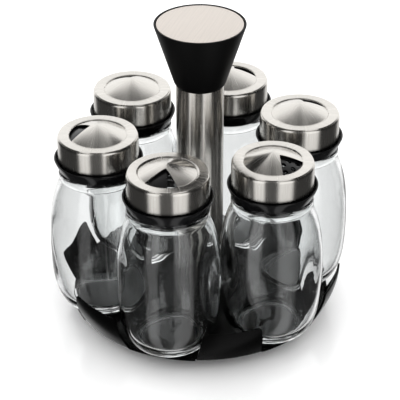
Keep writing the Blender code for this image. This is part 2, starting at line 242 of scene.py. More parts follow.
def smooth_run(points, samples):
    """A curve through the points: between two of them it is the cubic whose slopes are half the step from
    the point before to the point after."""
    point = np.array(points, float)
    slope = np.gradient(point, axis=0)
    at = np.linspace(0, len(point) - 1, samples)
    index = np.minimum(at.astype(int), len(point) - 2)
    t = (at - index)[:, None]
    blend = [2 * t**3 - 3 * t**2 + 1, t**3 - 2 * t**2 + t, -2 * t**3 + 3 * t**2, t**3 - t**2]
    ends = [point[index], slope[index], point[index + 1], slope[index + 1]]
    return sum(share * end for share, end in zip(blend, ends))


def offset_run(run, distance):
    """The run moved sideways, to the left of its own direction, by the distance."""
    along = np.gradient(run, axis=0)
    along /= np.maximum(np.linalg.norm(along, axis=1, keepdims=True), 1e-9)
    return run + distance * np.stack([-along[:, 1], along[:, 0]], axis=1)


def travelled(run):
    """Distance along the run up to each of its points."""
    steps = np.linalg.norm(np.diff(run, axis=0), axis=1)
    return np.concatenate([[0.0], np.cumsum(steps)])


def round_grid(radius, height, angle):
    """Points of a surface round Z: radius and height at each row and column, at the column's angle."""
    radius, height, angle = np.broadcast_arrays(radius, height, angle)
    return np.stack([radius * np.cos(angle), radius * np.sin(angle), height], axis=-1)


def patch(points, uv=None, keep=None):
    """A grid of points as (points, faces, uv). Each face joins two rows and two columns, and keep says
    which columns have faces. uv is (across, along) in millimetres at each point."""
    rows, columns = points.shape[:2]
    corner = np.arange(rows * columns).reshape(rows, columns)
    faces = np.stack([corner[:-1, :-1], corner[:-1, 1:], corner[1:, 1:], corner[1:, :-1]], axis=-1)
    if keep is not None:
        faces = faces[:, keep]
    if uv is None:
        uv = np.zeros((rows, columns, 2))
    return points.reshape(-1, 3), faces.reshape(-1, 4), uv.reshape(-1, 2)


def turned_patch(run, columns, swell=None):
    """A (radius, height) run turned round Z. swell(angle, radius, height) adds to the radius. The uv goes
    round at the run's widest radius, and along the run."""
    angle = np.linspace(0, TURN, columns + 1)[None, :]
    radius = run[:, :1] + np.zeros_like(angle)
    height = run[:, 1:] + np.zeros_like(angle)
    if swell is not None:
        radius = radius + swell(angle, radius, height)
    across = angle * run[:, 0].max() + np.zeros_like(radius)
    along = travelled(run)[:, None] + np.zeros_like(radius)
    return patch(round_grid(radius, height, angle), np.stack([across, along], axis=-1))


def joined(patches):
    """Several patches as one set of points, faces and uv."""
    counts = np.cumsum([0] + [len(points) for points, _, _ in patches[:-1]])
    faces = [face + count for (_, face, _), count in zip(patches, counts)]
    return np.vstack([p for p, _, _ in patches]), np.vstack(faces), np.vstack([u for _, _, u in patches])


def moved(shape, bearing=0.0, place=(0.0, 0.0)):
    """The shape turned about Z by the bearing, then moved to the place on the tray."""
    points, faces, uv = shape
    angle = math.radians(bearing)
    cosine, sine = math.cos(angle), math.sin(angle)
    turn = np.array([[cosine, sine, 0], [-sine, cosine, 0], [0, 0, 1]])
    return points @ turn + np.array([place[0], place[1], 0.0]), faces, uv


def mesh_of(name, shape):
    """A mesh in metres from a shape in millimetres, with doubles merged and faces pointing out."""
    points, faces, uv = shape
    mesh = bpy.data.meshes.new(name)
    mesh.vertices.add(len(points))
    mesh.vertices.foreach_set("co", (points * MM).astype(np.float32).ravel())
    mesh.loops.add(faces.size)
    mesh.loops.foreach_set("vertex_index", faces.astype(np.int32).ravel())
    mesh.polygons.add(len(faces))
    mesh.polygons.foreach_set("loop_start", np.arange(0, faces.size, 4, dtype=np.int32))
    layer = mesh.uv_layers.new(name="surface")
    layer.data.foreach_set("uv", (uv[faces.ravel()] * MM).astype(np.float32).ravel())
    mesh.update(calc_edges=True)
    bm = bmesh.new()
    bm.from_mesh(mesh)
    bmesh.ops.remove_doubles(bm, verts=bm.verts, dist=2e-6)
    bmesh.ops.dissolve_degenerate(bm, edges=bm.edges, dist=1e-6)
    bmesh.ops.recalc_face_normals(bm, faces=bm.faces)
    bm.to_mesh(mesh)
    bm.free()
    mesh.shade_smooth()
    mesh.set_sharp_from_angle(angle=math.radians(SHARP_BEND))
    return mesh


def add_piece(name, mesh, finish, body, node):
    """A finished piece that stands for a node, rides on its body and takes the slot's finish."""
    piece = bpy.data.objects.new(name, mesh)
    bpy.context.scene.collection.objects.link(piece)
    mesh.materials.clear()
    mesh.materials.append(finish)
    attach(piece, body)
    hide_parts(node)
    return piece


def add_each(name, make, finish, body, node):
    """A piece at each jar's place: make(number, place) gives its shape."""
    for number in range(1, JARS + 1):
        label = f"{name}_{number}"
        mesh = mesh_of(label, make(number, jar_axis(number)))
        add_piece(label, mesh, finish, f"{body}_{number}", f"{node}_{number}")


def cut(name, shape, cutters):
    """The shape with each cutter taken out of it by an exact Boolean."""
    host = bpy.data.objects.new(name, mesh_of(name, shape))
    bpy.context.scene.collection.objects.link(host)
    helpers = []
    for index, cutter in enumerate(cutters):
        helper = bpy.data.objects.new(f"{name}_cutter_{index}", mesh_of(f"{name}_cutter_{index}", cutter))
        bpy.context.scene.collection.objects.link(helper)
        step = host.modifiers.new(f"cut_{index}", "BOOLEAN")
        step.operation = "DIFFERENCE"
        step.solver = "EXACT"
        step.object = helper
        helpers.append(helper)
    graph = bpy.context.evaluated_depsgraph_get()
    made = bpy.data.meshes.new_from_object(host.evaluated_get(graph), depsgraph=graph)
    for helper in (host, *helpers):
        bpy.data.objects.remove(helper, do_unlink=True)
    made.shade_smooth()
    made.set_sharp_from_angle(angle=math.radians(SHARP_CUT_BEND))
    return made


def placed_copy(mesh, name, bearing, place):
    """A copy of the mesh, turned about Z and moved on the tray."""
    copy = mesh.copy()
    copy.name = name
    count = len(copy.vertices)
    points = np.empty(count * 3, np.float32)
    copy.vertices.foreach_get("co", points)
    turned, _, _ = moved((points.reshape(-1, 3), None, None), bearing, (place[0] * MM, place[1] * MM))
    copy.vertices.foreach_set("co", turned.astype(np.float32).ravel())
    copy.update()
    return copy


def axis_of(node):
    """Where a node's own upright axis stands, in millimetres."""
    low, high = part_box(node)
    return (low.x + high.x) / 2 / MM, (low.y + high.y) / 2 / MM


def jar_axis(number):
    """A jar's axis: its bearing is known, and its distance is that of the first jar."""
    distance = -(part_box("glass_jar_1")[0].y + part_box("glass_jar_1")[1].y) / 2 / MM
    return polar(distance, jar_bearing(number))


def jar_bearing(number):
    return -90 + 360 / JARS * (number - 1)


# Materials.


def add_node(tree, kind, links=None, **settings):
    """A node with its settings. A setting named after an input sets that input, and links joins inputs
    to the outputs given as (node, output name)."""
    node = tree.nodes.new(kind)
    for name, value in settings.items():
        found = [socket for socket in node.inputs if socket.name == name.replace("_", " ")]
        if found:
            found[0].default_value = value
        else:
            setattr(node, name, value)
    for name, (source, output) in (links or {}).items():
        tree.links.new(source.outputs[output], node.inputs[name])
    return node


def new_material(name):
    """An empty node tree with its output, and a Principled shader."""
    material = bpy.data.materials.new(name)
    material.use_nodes = True
    tree = material.node_tree
    return material, tree, tree.nodes["Principled BSDF"]


def set_shader(shader, **values):
    """Sets the shader's inputs. A colour of three parts is made opaque."""
    for name, value in values.items():
        socket = shader.inputs[name.replace("_", " ")]
        socket.default_value = (*value, 1.0) if socket.type == "RGBA" else value


def noise(tree, size_mm, detail, stretch=(1, 1, 1), source=None):
    """A noise whose patches are about the given size, in the piece's own coordinates."""
    place = source or (add_node(tree, "ShaderNodeTexCoord"), "Object")
    scaled = add_node(tree, "ShaderNodeMapping", {"Vector": place},
                      Scale=tuple(part / (size_mm * MM) for part in stretch))
    return add_node(tree, "ShaderNodeTexNoise", {"Vector": (scaled, "Vector")}, Scale=1.0, Detail=detail)


def spread_over(tree, source, low, high):
    """The noise's middle values spread from low to high."""
    spread = add_node(tree, "ShaderNodeMapRange", {"Value": (source, "Fac")},
                      From_Min=0.3, From_Max=0.7, To_Min=low, To_Max=high)
    return spread.outputs["Result"]


def bumped(tree, source, strength, depth_mm):
    """The surface's normal, tilted by the noise as by grooves of the given depth."""
    bump = add_node(tree, "ShaderNodeBump", {"Height": (source, "Fac")}, Strength=strength,
                    Distance=depth_mm * MM)
    return bump.outputs["Normal"]


def feed(tree, shader, **sources):
    """Joins an output to each named input of the shader."""
    for name, output in sources.items():
        tree.links.new(output, shader.inputs[name.replace("_", " ")])


def tinted(tree, source, colour, change):
    """The colour made lighter and darker by the share, after the noise."""
    shades = [[part * (1 + way * change) for part in colour] for way in (-1, 1)]
    mix = add_node(tree, "ShaderNodeMix", {"Factor": (source, "Fac")}, data_type="RGBA")
    for socket, shade in zip([s for s in mix.inputs if s.type == "RGBA"], shades):
        socket.default_value = (*shade, 1.0)
    return next(s for s in mix.outputs if s.type == "RGBA")


def brushed_stainless(name, colour, roughness=0.25):
    """Stainless steel, AISI 304, brushed with about 320 grit along the piece's own map: the grooves are some
    0.06 mm apart, drawn here at 0.12 mm. They draw a light out across themselves into a band. The rolled
    sheet's faint ripples, about 1 mm apart, streak the band."""
    groove_mm, ripple_mm = 0.12, 1.1
    material, tree, shader = new_material(name)
    uv = add_node(tree, "ShaderNodeUVMap", uv_map="surface")
    grooves = noise(tree, groove_mm, 2.0, (0.02, 1, 1), (uv, "UV"))
    ripples = noise(tree, ripple_mm, 3.0, (1, 0.04, 1), (uv, "UV"))
    tangent = add_node(tree, "ShaderNodeTangent", direction_type="UV_MAP", uv_map="surface")
    set_shader(shader, Metallic=1.0, Anisotropic=0.85, Anisotropic_Rotation=0.25)
    feed(tree, shader, Base_Color=tinted(tree, ripples, colour, 0.14),
         Roughness=spread_over(tree, ripples, roughness - 0.03, roughness + 0.03),
         Normal=bumped(tree, grooves, 0.05, 0.01), Tangent=tangent.outputs["Tangent"])
    return material


def pressed_soda_glass(name, colour):
    """Soda-lime glass, pressed and fire-polished: clear, with sharp reflections, and faintly uneven where the
    mould chilled its skin. The foot's underside is stippled, so it shows as a paler disc."""
    material, tree, shader = new_material(name)
    chill = noise(tree, 7.0, 1.0)
    place = add_node(tree, "ShaderNodeUVMap", uv_map="surface")
    along = add_node(tree, "ShaderNodeSeparateXYZ", {"Vector": (place, "UV")})
    gloss = add_node(tree, "ShaderNodeMapRange", {"Value": (along, "Y")},
                     From_Min=17.5 * MM, From_Max=18.5 * MM, To_Min=0.42, To_Max=0.0)
    set_shader(shader, Base_Color=colour, IOR=1.52, Transmission_Weight=1.0)
    feed(tree, shader, Roughness=gloss.outputs["Result"], Normal=bumped(tree, chill, 0.3, 0.1))
    return material


def moulded_plastic(name, colour, roughness, grain_mm, depth_mm, ior=1.53, specular=0.5):
    """Moulded ABS: the mould's fine grain breaks its gloss, and the gloss varies a little."""
    material, tree, shader = new_material(name)
    grain = noise(tree, grain_mm, 2.0)
    cloud = noise(tree, 16.0, 1.0)
    set_shader(shader, IOR=ior, Specular_IOR_Level=specular)
    feed(tree, shader, Base_Color=tinted(tree, cloud, colour, 0.1), Normal=bumped(tree, grain, 0.5, depth_mm),
         Roughness=spread_over(tree, cloud, roughness - 0.03, roughness + 0.04))
    return material


def black_enamel(name, colour):
    """Stoved black enamel on pressed steel: deep, with the slight orange peel of sprayed paint and a thin
    film of dust that dulls its gloss."""
    material, tree, shader = new_material(name)
    peel = noise(tree, 2.5, 1.0)
    dust = noise(tree, 28.0, 4.0)
    set_shader(shader, IOR=1.5, Specular_IOR_Level=0.11)
    feed(tree, shader, Base_Color=tinted(tree, dust, colour, 0.25), Normal=bumped(tree, peel, 0.25, 0.06),
         Roughness=spread_over(tree, dust, 0.2, 0.28))
    return material


def zinc_plate(name, colour):
    """Bright zinc plate on turned steel: bluish, a little cloudy."""
    material, tree, shader = new_material(name)
    cloud = noise(tree, 2.5, 3.0)
    set_shader(shader, Metallic=1.0)
    feed(tree, shader, Base_Color=tinted(tree, cloud, colour, 0.08),
         Roughness=spread_over(tree, cloud, 0.2, 0.36))
    return material


def soft_rubber(name, colour):
    """Moulded black rubber: dull, with a fine grain."""
    return moulded_plastic(name, colour, 0.72, 0.4, 0.02, ior=1.52)


# Jars.

# How far the waves of each jar are turned on from those of the jar before it, in radians.
WAVE_STEP = 1.1


def jar_wave(angle, radius, height, phase, depth, bottom):
    """Slow waves of pressed glass: six shallow upright lobes and three longer ones that wind as they rise.
    They fade towards the foot and the neck, where the mould was truest."""
    share = np.clip((height - bottom - 8) / 70, 0, 1)
    belly = np.sin(share * math.pi) ** 1.5
    return depth * belly * (0.6 * np.sin(6 * angle + phase) + np.sin(3 * angle - 2 * phase + height / 12))


def thread_ridge(angle, height, pitch, low, high):
    """A ridge that climbs one pitch each turn, faded in and out at its two ends."""
    turns = (height - low) / pitch - angle / TURN
    across = turns - np.floor(turns) - 0.5
    ends = np.clip((height - low) / pitch, 0, 1) * np.clip((high - height) / pitch, 0, 1)
    return 0.7 * np.exp(-((across / 0.17) ** 2)) * ends


def jar_shape(sizes, phase):
    """A jar: outside and inside are smooth curves turned round Z. The neck carries the thread, and the
    inside has the waves."""
    bottom = low_mm("glass_jar_1")
    mouth = high_mm("glass_jar_1")
    neck = 20.1
    wall = sizes.glass_wall
    belly = [(19.4, 0.9), (21.9, 2.9), (24.2, 6.0), (26.2, 10.4), (27.8, 16.5), (28.9, 25.5), (29.35, 38.0),
             (29.3, 50.0), (28.5, 61.0), (26.9, 70.0), (25.0, 76.6), (23.5, 80.4), (22.4, 82.8)]
    outside = smooth_run([(radius, bottom + height) for radius, height in belly], 70)
    foot = outline([(0, bottom + 1.6), (15.2, bottom + 1.3, 2.0), (17.0, bottom, 0.9), (18.4, bottom, 0.8),
                    (19.4, bottom + 0.9)])
    bead = outline([(22.4, bottom + 82.8), (22.0, bottom + 83.9, 0.7), (23.1, bottom + 84.6, 1.0),
                    (23.1, bottom + 88.0, 1.3), (neck, bottom + 88.6, 0.7), (neck, bottom + 89.6)])
    above = np.linspace(bottom + 89.7, mouth - 1.0, 56)
    straight = np.stack([np.full_like(above, neck), above], axis=1)
    lip = outline([(neck, mouth - 1.0), (neck, mouth, 0.9), (neck - wall, mouth, 0.9),
                   (neck - wall, mouth - 1.0)])
    hollow = [(neck - wall, 97), (neck - wall, 89), (18.6, 85.6), (20.9, 80.5), (23.6, 73.5), (25.6, 64.5),
              (26.6, 52.0), (26.7, 38.0), (26.2, 25.5), (25.0, 16.5), (23.2, 10.6), (20.6, 6.9), (17.6, 5.6),
              (9.0, 5.3), (0, 5.2)]
    inside = smooth_run([(radius, bottom + height) for radius, height in hollow], 90)
    inside[-1] = (0, bottom + 5.2)
    depth = sizes.glass_wave

    def outer_swell(angle, radius, height):
        ridge = thread_ridge(angle, height, sizes.thread_pitch, bottom + 90.5, bottom + 99.5)
        return ridge + 0.3 * jar_wave(angle, radius, height, phase, depth, bottom)

    def inner_swell(angle, radius, height):
        return jar_wave(angle, radius, height, phase + 1.3, depth, bottom) * np.clip(radius / 10, 0, 1)

    columns = sizes.jar_columns
    outer = turned_patch(thinned(np.vstack([foot, outside, bead, straight, lip])), columns, outer_swell)
    points, faces, uv = turned_patch(thinned(np.vstack([lip[-1:], inside])), columns, inner_swell)
    return joined([outer, (points, faces, uv + (0, uv[:, 1].max()))])


class RACK_OT_jars(bpy.types.Operator):
    """Make the glass jars"""

    bl_idname = "rack.jars"
    bl_label = "Glass jars"

    def execute(self, context):
        glass = pressed_soda_glass("soda_glass_pressed", context.scene.rack_colours.glass)
        sizes = plain(context.scene.rack_sizes)

        def turned_jar(number, place):
            return moved(jar_shape(sizes, number * WAVE_STEP), jar_bearing(number), place)

        add_each("pressed_jar", turned_jar, glass, "jar", "glass_jar")
        return {"FINISHED"}


# Lids.


def collar_run():
    """The screw collar's outline: a sleeve round the neck, a dished skirt that flares out to a thin lip,
    and a ledge on top that carries the sifter."""
    low, top = low_mm("cap_collar_1"), high_mm("cap_collar_1")
    lip = low + 7.1
    return loop_outline([(21.0, top - 2.6), (21.0, low, 0.3), (22.5, low, 0.6), (24.0, low + 3.4, 2.5),
                         (25.4, lip, 0.45), (24.5, lip, 0.45), (23.4, lip - 1.9, 0.6), (21.5, lip - 1.9, 0.3),
                         (21.5, top, 0.25), (16.8, top, 0.3), (16.8, top - 2.6, 0.3)])


class RACK_OT_collars(bpy.types.Operator):
    """Make the screw collars and their sealing rings"""

    bl_idname = "rack.collars"
    bl_label = "Screw collars"

    def execute(self, context):
        columns, colours = settings(context)
        plastic = moulded_plastic("cap_ABS_gloss", colours.cap, 0.12, 0.5, 0.003)
        rubber = soft_rubber("seal_rubber", colours.rubber)
        collar = turned_patch(collar_run(), columns)
        seal = turned_patch(loop_outline(ring_corners("cap_seal_1", 16.0, 20.2, 0.3, 0.3)), columns)
        add_each("screw_collar", lambda number, place: moved(collar, 0, place), plastic,
                 "cap", "cap_collar")
        add_each("sealing_ring", lambda number, place: moved(seal, 0, place), rubber,
                 "cap_thread", "cap_seal")
        return {"FINISHED"}


LID_RADIUS = 23.0
LID_SHEET = 0.6
MARGIN_INNER = 17.3
CONE_RADIUS = 16.5
CONE_STEP = 0.6
SIFTER_GAP = 1.0
SIFTER_THICK = 1.2


def lid_margin(sizes):
    """Height of a shaker top's flat margin."""
    return high_mm("shaker_top_1") - sizes.cone_rise


def cone_height(radius, base, rise, reach):
    """Height of the domed cone: it falls with the radius to the power 1.5, so its point is soft."""
    return base + rise * (1 - (radius / reach) ** 1.5)


def window_reach(bearing, edge, outer):
    """How far the cone's sheet reaches at a bearing from the window's middle: to the window's edge, a line
    that runs beside the radius at 45 degrees at the edge distance, or to the cone's foot beyond it."""
    turn = np.sqrt(bearing**2 + 0.05**2)
    toward_edge = np.sin(np.maximum(math.pi / 4 - turn, 1e-3))
    return np.minimum(edge / toward_edge, outer)


def shaker_top_shape(sizes):
    """The drawn steel cap as an outer and an inner sheet. The margin and skirt are turned round Z. The
    cone is a fan whose reach is cut back to the window's edge, and in the window's columns short rims
    close the sheet's thickness."""
    low = low_mm("shaker_top_1")
    margin = lid_margin(sizes)
    half = math.pi / 4 - math.asin(sizes.window_edge / CONE_RADIUS)
    fine = np.linspace(-half, half, 65)
    rest = np.linspace(half, TURN - half, 2 * sizes.turned_columns)[1:]
    angle = np.concatenate([fine, rest])[None, :]
    window = np.arange(angle.shape[1] - 1) < len(fine) - 1
    outer_run = outline([(LID_RADIUS, low), (LID_RADIUS, margin, 1.8), (MARGIN_INNER, margin, 0.35),
                         (CONE_RADIUS, margin - CONE_STEP, 0.3),
                         (CONE_RADIUS - 0.4, margin - CONE_STEP)])[:-1]
    inner_run = offset_run(outer_run, -LID_SHEET)
    inner_run[0] = (LID_RADIUS - LID_SHEET, low)
    inner_run = inner_run[inner_run[:, 0] <= LID_RADIUS - LID_SHEET + 1e-6]
    parts = []
    for run in (outer_run, inner_run):
        grid = round_grid(run[:, :1], run[:, 1:], angle)
        uv = np.stack(np.broadcast_arrays(angle * LID_RADIUS, travelled(run)[:, None]), axis=-1)
        parts.append((grid, uv))
    edge_reach = window_reach(angle, sizes.window_edge, CONE_RADIUS)
    reach = np.where(np.abs(angle) < half + 1e-9, edge_reach, CONE_RADIUS)
    share = np.linspace(0, 1, 40)[:, None]
    fans = []
    for run in (outer_run, inner_run):
        foot_radius, foot_height = run[-1]
        spread = share * np.minimum(reach, CONE_RADIUS) / CONE_RADIUS * foot_radius
        height = cone_height(spread, foot_height, sizes.cone_rise + CONE_STEP, foot_radius)
        uv = np.stack(np.broadcast_arrays(angle * LID_RADIUS, spread + 40), axis=-1)
        fans.append((round_grid(spread, height, angle), uv))
    solid = [patch(*part) for part in (*parts, *fans)]
    (outer, outer_uv), (inner, inner_uv) = parts
    skirt_rim = np.stack([outer[0], inner[0]])
    solid.append(patch(skirt_rim, np.stack([outer_uv[0], inner_uv[0]])))
    margin_rim = np.stack([outer[-1], inner[-1]])
    solid.append(patch(margin_rim, np.stack([outer_uv[-1], inner_uv[-1]]), window))
    cone_rim = np.stack([fans[0][0][-1], fans[1][0][-1]])
    solid.append(patch(cone_rim, np.stack([fans[0][1][-1], fans[1][1][-1]]), window))
    return joined(solid)


class RACK_OT_shaker_tops(bpy.types.Operator):
    """Make the steel shaker tops"""

    bl_idname = "rack.shaker_tops"
    bl_label = "Shaker tops"

    def execute(self, context):
        steel = brushed_stainless("cap_stainless_brushed", context.scene.rack_colours.steel)
        shape = shaker_top_shape(plain(context.scene.rack_sizes))
        add_each("steel_top", lambda number, place: moved(shape, WINDOW_BEARINGS[number - 1], place),
                 steel, "shaker", "shaker_top")
        return {"FINISHED"}


def upright_hole(x, y, radius, low, high, sides=28):
    """A closed upright cylinder to cut with."""
    run = np.array([(0, low), (radius, low), (radius, high), (0, high)], float)
    return moved(turned_patch(run, sides), 0, (x, y))


def pour_cutter(low, high):
    """A closed upright wedge with rounded corners: bearing and radius follow a superellipse."""
    t = np.linspace(0, TURN, 65)
    side = np.sign(np.cos(t)) * np.abs(np.cos(t)) ** 0.35
    depth = np.sign(np.sin(t)) * np.abs(np.sin(t)) ** 0.35
    bearing = math.radians(POUR_BEARING) + math.radians(POUR_HALF_ANGLE) * side
    radius = POUR_RADIUS + POUR_HALF_WIDTH * depth
    middle = np.array(polar(POUR_RADIUS, POUR_BEARING))
    edge = np.stack([radius * np.cos(bearing), radius * np.sin(bearing)], axis=-1)
    centre = np.broadcast_to(middle, edge.shape)
    rows = [(centre, low), (edge, low), (edge, high), (centre, high)]
    grid = np.stack([np.column_stack([flat, np.full(len(flat), height)]) for flat, height in rows])
    return patch(grid)


def sifter_mesh(sizes):
    """The sifting disc: a shallow black cone with a flat rim, drilled with round holes, and one wide
    opening for pouring."""
    low = low_mm("sifter_1")
    base = lid_margin(sizes) - LID_SHEET - SIFTER_GAP
    apex = base + sizes.cone_rise
    spread = np.linspace(CONE_RADIUS, 0, 18)
    cone = np.stack([spread, cone_height(spread, base, sizes.cone_rise, CONE_RADIUS)], axis=1)
    under = cone[:2:-1] - (0, SIFTER_THICK)
    rim = outline([(15.6, low), (21.4, low, 0.3), (21.4, base, 0.3), (CONE_RADIUS + 0.3, base)])
    run = np.vstack([under, rim, cone])
    cutters = [pour_cutter(low - 3, apex + 3)]
    for radius, bearings in SHAKE_RINGS:
        for bearing in bearings:
            cutters.append(upright_hole(*polar(radius, bearing), HOLE_RADIUS, low - 3, apex + 3))
    return cut("sifting_disc", turned_patch(run, sizes.turned_columns), cutters)


class RACK_OT_sifters(bpy.types.Operator):
    """Make the sifting discs"""

    bl_idname = "rack.sifters"
    bl_label = "Sifting discs"

    def execute(self, context):
        plastic = moulded_plastic("sifter_ABS_gloss", context.scene.rack_colours.cap, 0.3, 0.5, 0.006)
        master = sifter_mesh(plain(context.scene.rack_sizes))
        for number in range(1, JARS + 1):
            turn = WINDOW_BEARINGS[number - 1] - WINDOW_OVER[number - 1]
            mesh = placed_copy(master, f"sifting_disc_{number}", turn, jar_axis(number))
            add_piece(mesh.name, mesh, plastic, f"cap_{number}", f"sifter_{number}")
        return {"FINISHED"}


# Tray.


def tab_run(sizes, start, middle):
    """A tab's middle line as (radius, height): flat out of the disc, round a small bend, then leaning out
    by a quarter sine so that its head is upright."""
    top = high_mm("tray") - 0.3
    share = np.linspace(0.06, 1, 26)[:, None]
    foot = np.array([sizes.tray_radius - 0.9, middle])
    rise = foot + np.hstack([sizes.tab_flare * np.sin(share * math.pi / 2), share * (top - middle)])
    bend = outline([(start, middle), (*foot, 0.6), tuple(rise[0])])
    return thinned(np.vstack([bend, rise]))


def tray_shape(sizes):
    """The pressed tray as one closed sheet: a disc with two faces, a rounded rim between the tabs, and
    the tabs bent up out of it. A narrow relief slit stands at each side of a tab."""
    half_sheet = sizes.tray_sheet / 2
    middle = low_mm("tray") + half_sheet
    start = sizes.tray_radius - 1.8
    low_half = sizes.tab_low
    slit = 0.5 / sizes.tray_radius
    angles, kinds = [], []
    for index in range(JARS):
        centre = math.radians(jar_bearing(index + 1) + 180 / JARS)
        following = centre + TURN / JARS
        spans = [(centre - low_half, centre + low_half, 17, "tab"),
                 (centre + low_half, centre + low_half + slit, 2, "slit"),
                 (centre + low_half + slit, following - low_half - slit, 21, "rim"),
                 (following - low_half - slit, following - low_half, 2, "slit")]
        for begin, end, count, kind in spans:
            angles.append(np.linspace(begin, end, count)[:-1])
            kinds += [kind] * (count - 1)
    angle = np.concatenate([*angles, angles[0][:1] + TURN])[None, :]
    kinds = np.array(kinds)
    flat = np.linspace(ROD_BORE, start, 12)[:, None]
    parts = []
    for height in (middle + half_sheet, middle - half_sheet):
        grid = round_grid(flat, height, angle)
        parts.append(patch(grid, grid[..., :2]))
    walls = [(ROD_BORE, np.ones(len(kinds), bool)), (start, kinds == "slit")]
    for radius, keep in walls:
        grid = round_grid(radius, np.array([[middle - half_sheet], [middle + half_sheet]]), angle)
        parts.append(patch(grid, grid[..., :2], keep))
    edge = sizes.tray_radius
    rim = outline([(start, middle + half_sheet), (edge, middle + half_sheet, 0.25),
                   (edge, middle - half_sheet, 0.25), (start, middle - half_sheet)])
    grid = round_grid(rim[:, :1], rim[:, 1:], angle)
    parts.append(patch(grid, grid[..., :2], kinds == "rim"))
    parts += rim_ends(rim, angle[0], kinds)
    run = tab_run(sizes, start, middle)
    for index in range(JARS):
        parts += tab_patches(sizes, run, half_sheet, math.radians(jar_bearing(index + 1) + 180 / JARS))
    return joined(parts)


def rim_ends(rim, angle, kinds):
    """The small flat ends of each stretch of rim, as fans from the stretch's middle line."""
    starts = [i for i in range(len(kinds)) if kinds[i] == "rim" and kinds[i - 1] != "rim"]
    ends = [i + 1 for i in range(len(kinds)) if kinds[i] == "rim" and kinds[(i + 1) % len(kinds)] != "rim"]
    made = []
    count = len(rim) // 2
    for column in (*starts, *ends):
        upper = round_grid(rim[:count, 0], rim[:count, 1], angle[column])
        lower = round_grid(rim[::-1][:count, 0], rim[::-1][:count, 1], angle[column])
        rows = [upper, lower]
        if len(rim) % 2:
            tip = round_grid(rim[count:count + 1, 0], rim[count:count + 1, 1], angle[column])
            rows = [np.vstack([upper, tip]), np.vstack([lower, tip])]
        made.append(patch(np.stack(rows)))
    return made


def tab_patches(sizes, run, half_sheet, centre):
    """One tab: its two faces are the middle line moved half a sheet each way, with a rounded head between
    them, and its two side edges. Its half width narrows with height, and its head's corners are round."""
    inner = offset_run(run, half_sheet)
    outer = offset_run(run, -half_sheet)
    inner[0, 0] = outer[0, 0] = run[0, 0]
    turn = np.linspace(0, math.pi, 7)[1:-1, None]
    along = (run[-1] - run[-2]) / np.linalg.norm(run[-1] - run[-2])
    across = (inner[-1] - run[-1]) / half_sheet
    head = run[-1] + half_sheet * (np.cos(turn) * across + 0.5 * np.sin(turn) * along)
    section = np.vstack([inner, head, outer[::-1]])
    heights = section[:, 1]
    share = np.clip((heights - heights.min()) / (heights.max() - heights.min()), 0, 1)
    half = sizes.tab_low + share * (sizes.tab_high - sizes.tab_low)
    round_off = 1.6
    near_top = np.clip(heights - (heights.max() - round_off), 0, round_off)
    half = half - (round_off - np.sqrt(round_off**2 - near_top**2)) / sizes.tray_radius
    side = np.linspace(-1, 1, 17)[None, :]
    angle = centre + half[:, None] * side
    grid = round_grid(section[:, :1], section[:, 1:], angle)
    uv = np.stack([angle * sizes.tray_radius, travelled(section)[:, None] + 0 * angle], axis=-1)
    made = [patch(grid, uv)]
    count = len(run)
    for column in (0, -1):
        faces = np.stack([grid[:count, column], grid[::-1][:count, column]])
        made.append(patch(faces))
        tip = grid[count - 1:len(section) - count + 1, column]
        middle_point = np.broadcast_to(tip.mean(axis=0), tip.shape)
        made.append(patch(np.stack([tip, middle_point])))
        made.append(patch(np.stack([np.stack([tip[0], tip[-1]]), middle_point[:2]])))
    return made


class RACK_OT_tray(bpy.types.Operator):
    """Make the tray with its tabs"""

    bl_idname = "rack.tray"
    bl_label = "Tray"

    def execute(self, context):
        mesh = mesh_of("pressed_tray", tray_shape(plain(context.scene.rack_sizes)))
        enamel = black_enamel("tray_enamel_black", context.scene.rack_colours.tray)
        add_piece("pressed_tray", mesh, enamel, "carousel", "tray")
        return {"FINISHED"}


# Column, knob and what holds them.


def ring_corners(node, inner, outer, inner_reach, outer_reach):
    """The corners of a plain ring as high as the node."""
    low, high = span_mm(node)
    return [(inner, low, inner_reach), (outer, low, outer_reach), (outer, high, outer_reach),
            (inner, high, inner_reach)]


def add_turned(name, corners, columns, finish, body, node, place=(0, 0), closed=True, flat_map=False):
    """A turned piece from its corners. A closed outline is a ring, and an open one meets the axis. A flat map
    runs straight across the piece instead of round it."""
    run = loop_outline(corners) if closed else outline(corners)
    points, faces, uv = moved(turned_patch(run, columns), 0, place)
    mesh = mesh_of(name, (points, faces, points[:, :2] if flat_map else uv))
    return add_piece(name, mesh, finish, body, node)


class RACK_OT_column(bpy.types.Operator):
    """Make the column's tube and its plugs"""

    bl_idname = "rack.column"
    bl_label = "Column"

    def execute(self, context):
        columns, colours = settings(context)
        steel = brushed_stainless("column_stainless_brushed", colours.steel)
        plastic = moulded_plastic("plug_ABS", colours.foot, 0.45, 0.6, 0.01)
        radius = reach_mm("column_tube")
        corners = ring_corners("column_tube", radius - TUBE_WALL, radius, 0.2, 0.3)
        add_turned("steel_tube", corners, columns, steel, "carousel", "column_tube")
        for end in ("lower", "upper"):
            corners = ring_corners(f"{end}_plug", ROD_BORE, 12.0, 0.4, 0.6)
            add_turned(f"{end}_tube_plug", corners, columns, plastic, "carousel", f"{end}_plug")
        return {"FINISHED"}


